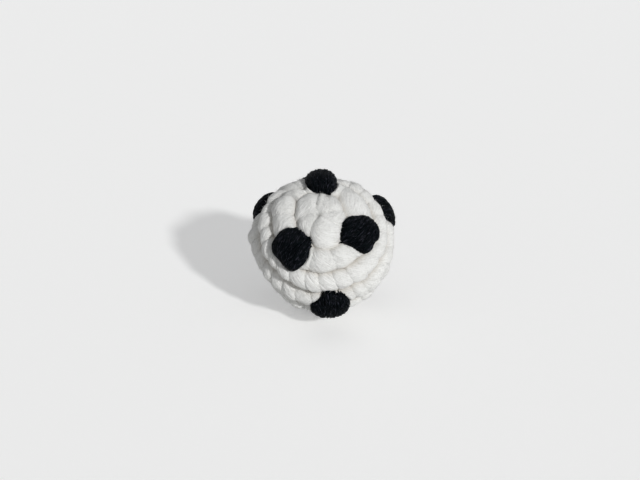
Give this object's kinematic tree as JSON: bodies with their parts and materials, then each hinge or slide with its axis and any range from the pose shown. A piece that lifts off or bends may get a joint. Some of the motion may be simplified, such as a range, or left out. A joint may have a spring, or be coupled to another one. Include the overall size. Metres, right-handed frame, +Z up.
{
  "type": "yarn toy ball",
  "caption": "Soft yarn-worked toy ball: a white cover of fat stitched rounds about a tilted pole, domed black patches stitched over it, fibre fill inside, and a pressed flat to rest on.",
  "frame": {"origin": "middle of the pressed flat under the foot patch, on the floor straight under the middle of the ball", "axes": "+Z up, -Y towards the side that the picture shows, +X to that viewer's right"},
  "size_m": [0.0598, 0.06, 0.0623],
  "materials": {
    "white_yarn": "thick soft multi-ply cotton yarn, matte, slightly fuzzy",
    "black_yarn": "fine black yarn in parallel strands, soft low sheen",
    "fibre_fill": "loose white fibre fill, matte"
  },
  "bodies": {
    "root": {"yarn_round_1": "white_yarn", "yarn_round_2": "white_yarn", "yarn_round_3": "white_yarn", "yarn_round_4": "white_yarn", "yarn_round_5": "white_yarn", "yarn_round_6": "white_yarn", "yarn_round_7": "white_yarn", "yarn_round_8": "white_yarn", "patch_front_left": "black_yarn", "patch_front_right": "black_yarn", "patch_top": "black_yarn", "patch_lower_front": "black_yarn", "patch_left": "black_yarn", "patch_right": "black_yarn", "patch_foot": "black_yarn", "patch_rear_right": "black_yarn", "patch_lower_left": "black_yarn", "patch_lower_right": "black_yarn", "patch_upper_rear": "black_yarn", "patch_lower_rear": "black_yarn", "stuffing": "fibre_fill", "starting_tail": "white_yarn", "closing_tail": "white_yarn"}
  },
  "joints": []
}
